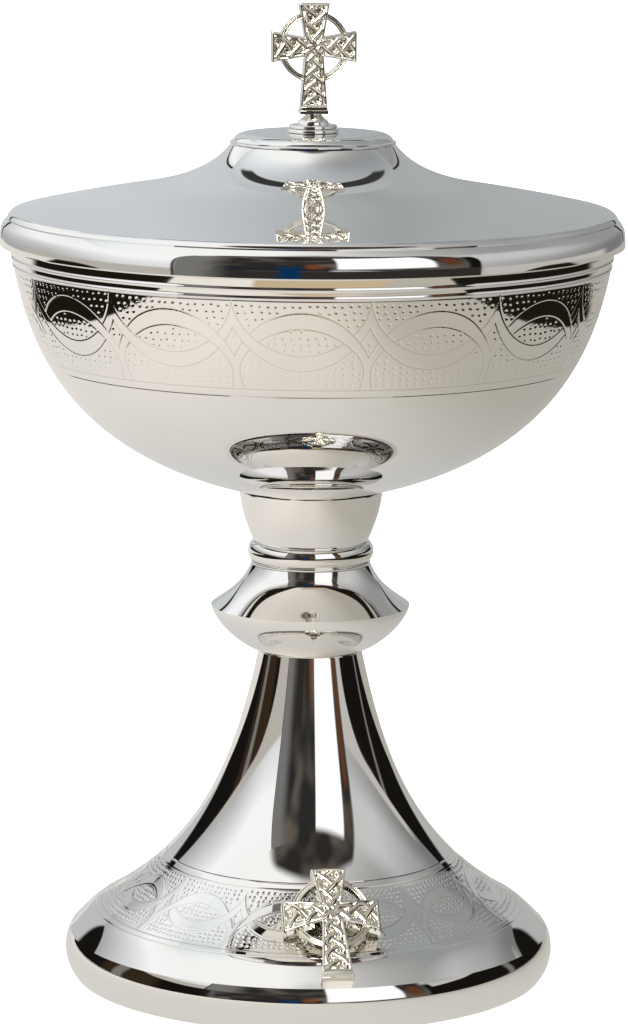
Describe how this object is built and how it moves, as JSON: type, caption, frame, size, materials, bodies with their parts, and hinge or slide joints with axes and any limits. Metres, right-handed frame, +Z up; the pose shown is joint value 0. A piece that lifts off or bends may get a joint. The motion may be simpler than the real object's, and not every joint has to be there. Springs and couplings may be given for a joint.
{
  "type": "ciborium",
  "caption": "Lidded ciborium: round bowl on a knopped stem and hollow trumpet foot, domed lift-off lid with a ringed cross finial, and a ringed cross on the foot.",
  "frame": {"origin": "centre of the foot's underside, on the table", "axes": "+Z up along the stem's axis, -Y towards the cross on the foot"},
  "size_m": [0.1468, 0.1468, 0.2312],
  "materials": {
    "bright_plate": "mirror polished nickel or silver plate",
    "cast_plate": "cast relief, plated, slightly toned in its recesses",
    "brass": "turned, unpolished",
    "steel": "plain machined"
  },
  "bodies": {
    "vessel": {"foot_shell": "bright_plate", "foot_base_ring": "brass", "foot_cross": "cast_plate", "foot_cross_nut_upper": "steel", "foot_cross_nut_lower": "steel", "knop_lower": "bright_plate", "knop_upper": "bright_plate", "knop_core_tube": "brass", "bead_ring": "bright_plate", "calyx_cup": "bright_plate", "bowl": "bright_plate", "bowl_boss": "brass", "tie_rod": "steel", "tie_rod_washer": "steel", "tie_rod_nut": "steel"},
    "lid": {"lid_shell": "bright_plate", "lid_flange": "bright_plate", "finial_pedestal": "bright_plate", "finial_cross": "cast_plate", "finial_stud": "steel", "finial_washer": "steel", "finial_nut": "steel"}
  },
  "joints": [
    {"name": "lid_lift", "type": "slide", "parent": "vessel", "child": "lid", "axis": [0, 0, 1], "range_m": [0, 0.1]}
  ]
}
